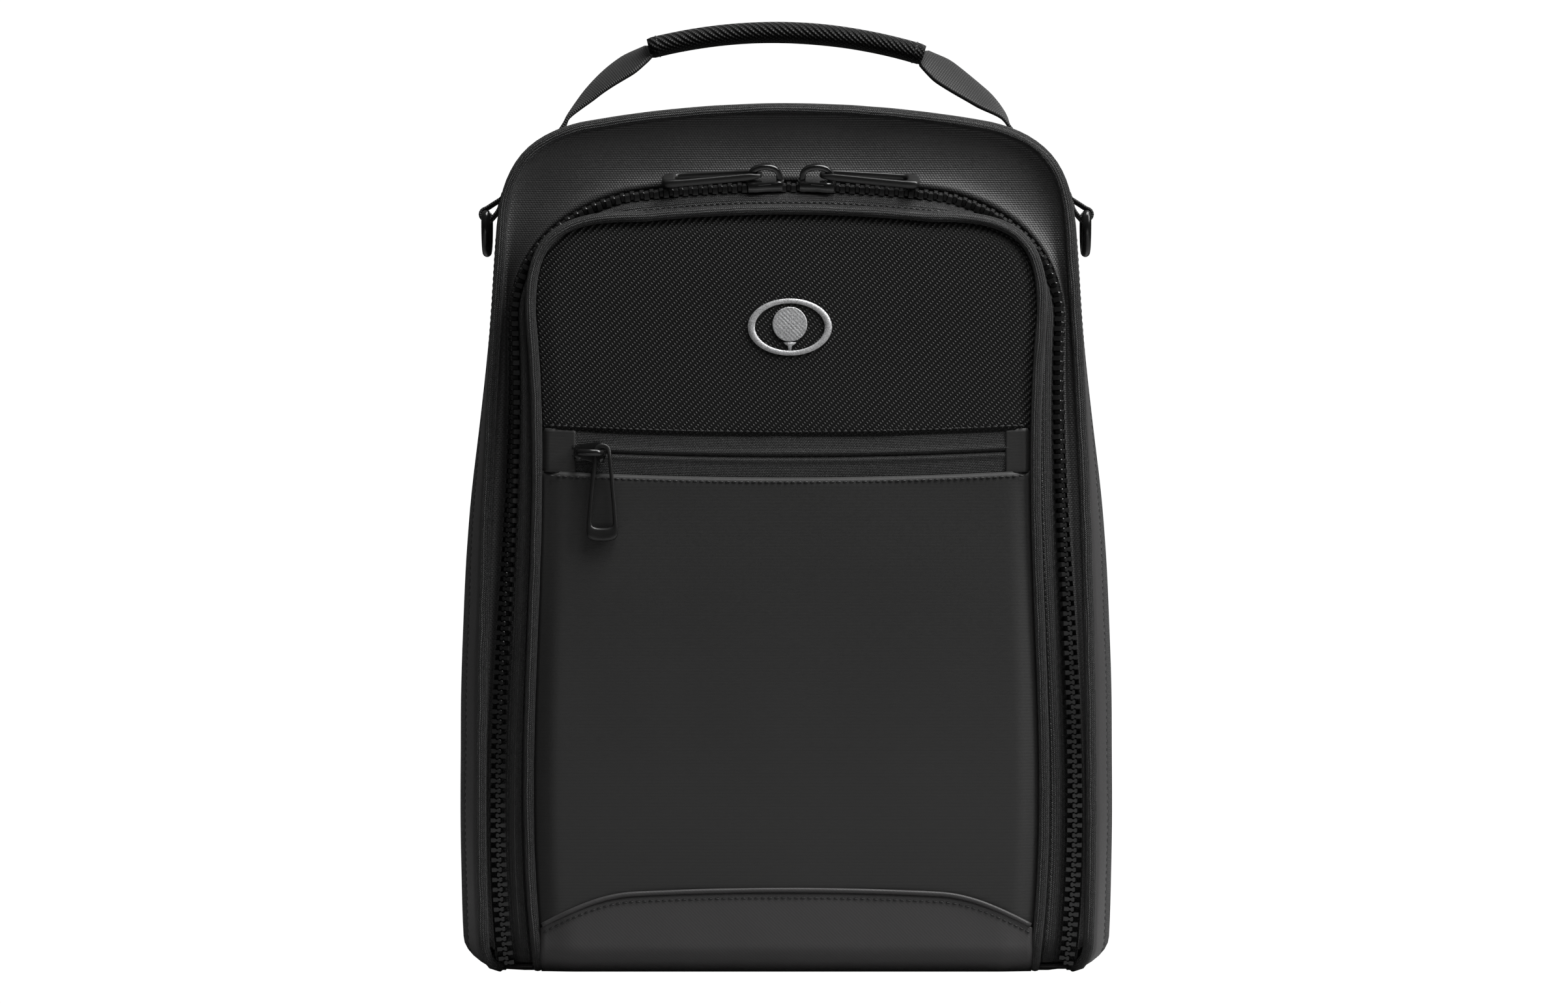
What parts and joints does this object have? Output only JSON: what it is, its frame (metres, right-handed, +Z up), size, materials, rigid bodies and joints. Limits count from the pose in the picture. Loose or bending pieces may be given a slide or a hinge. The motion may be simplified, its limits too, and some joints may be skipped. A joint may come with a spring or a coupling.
{
  "type": "golf shoe bag",
  "caption": "Upright zipped shoe bag: a padded case whose front door folds down on its bottom edge, with a carry handle, a door pocket and hanging side rings.",
  "frame": {"origin": "centre of the base's underside", "axes": "+Z up, the door faces -Y, +X to the right as the door is looked at"},
  "size_m": [0.284, 0.1627, 0.4125],
  "materials": {
    "coated": "coated polyester, satin",
    "twill": "diagonal twill with glossy yarn floats",
    "mesh": "ribbed mesh, matt",
    "binding": "woven tape over cord",
    "tape": "woven zip tape, matt",
    "teeth": "moulded, satin",
    "metal": "black lacquer, semi-gloss",
    "rubber": "moulded soft pull, semi-gloss",
    "webbing": "ribbed webbing",
    "lining": "plain lining cloth",
    "board": "stiffener sheet",
    "plastic": "moulded ring",
    "silver": "silver flake print"
  },
  "bodies": {
    "case": {"side_strip_left": "coated", "side_strip_right": "coated", "side_mesh_left": "mesh", "side_mesh_right": "mesh", "top_gusset": "coated", "base_panel": "coated", "base_board": "board", "back_panel": "coated", "arch_panel": "coated", "lining": "lining", "front_piping": "binding", "rear_piping": "binding", "frame_tape": "tape", "frame_teeth": "teeth", "handle_anchor_left": "webbing", "handle_anchor_right": "webbing", "ring_tab_left": "webbing", "ring_tab_right": "webbing"},
    "door": {"door_upper_panel": "twill", "door_lower_panel": "coated", "door_backing": "lining", "door_wall": "coated", "door_piping": "binding", "door_tape": "tape", "door_teeth": "teeth", "toe_cap": "coated", "toe_cord": "coated", "pocket_tape_upper": "tape", "pocket_tape_lower": "tape", "pocket_tab_left": "coated", "pocket_tab_right": "coated", "pocket_coil": "teeth", "pocket_bag": "lining", "emblem": "silver"},
    "main_slider_left": {"main_slider_left": "metal"},
    "main_pull_left": {"main_pull_left": "rubber"},
    "main_slider_right": {"main_slider_right": "metal"},
    "main_pull_right": {"main_pull_right": "rubber"},
    "pocket_slider": {"pocket_slider": "metal"},
    "pocket_pull": {"pocket_pull": "rubber"},
    "handle": {"handle_strap": "webbing", "handle_grip": "twill"},
    "ring_left": {"side_ring_left": "plastic"},
    "ring_right": {"side_ring_right": "plastic"}
  },
  "joints": [
    {"name": "door_hinge", "type": "hinge", "parent": "case", "child": "door", "pos_m": [0, -0.0738, 0.011], "axis": [1, 0, 0], "range_deg": [0, 88]},
    {"name": "main_slider_left_travel", "type": "hinge", "parent": "door", "child": "main_slider_left", "pos_m": [0, -0.06227, -0.2036], "axis": [0, -1, 0], "range_deg": [0, 5.4]},
    {"name": "main_pull_left_swing", "type": "hinge", "parent": "main_slider_left", "child": "main_pull_left", "pos_m": [-0.01128, -0.06527, 0.3409], "axis": [-0.0091, 0.8387, 0.5446], "range_deg": [0, 100]},
    {"name": "main_slider_right_travel", "type": "hinge", "parent": "door", "child": "main_slider_right", "pos_m": [0, -0.06227, -0.2036], "axis": [0, 1, 0], "range_deg": [0, 5]},
    {"name": "main_pull_right_swing", "type": "hinge", "parent": "main_slider_right", "child": "main_pull_right", "pos_m": [0.01531, -0.06527, 0.3408], "axis": [-0.0131, -0.8387, -0.5445], "range_deg": [0, 100]},
    {"name": "pocket_slider_travel", "type": "hinge", "parent": "door", "child": "pocket_slider", "pos_m": [0, -0.0267, 2.06003], "axis": [0, -0.9997, -0.025], "range_deg": [0, 5.2]},
    {"name": "pocket_pull_swing", "type": "hinge", "parent": "pocket_slider", "child": "pocket_pull", "pos_m": [-0.07841, -0.07614, 0.22218], "axis": [0, -0.9997, -0.025], "range_deg": [-45, 60]},
    {"name": "handle_fold", "type": "hinge", "parent": "case", "child": "handle", "pos_m": [0, 0.01, 0.3705], "axis": [1, 0, 0], "range_deg": [-45, 45]},
    {"name": "ring_left_swing", "type": "hinge", "parent": "case", "child": "ring_left", "pos_m": [-0.1316, 0.008, 0.3275], "axis": [0, 1, 0], "range_deg": [0, 150]},
    {"name": "ring_right_swing", "type": "hinge", "parent": "case", "child": "ring_right", "pos_m": [0.1316, 0.008, 0.3275], "axis": [0, -1, 0], "range_deg": [0, 150]}
  ]
}
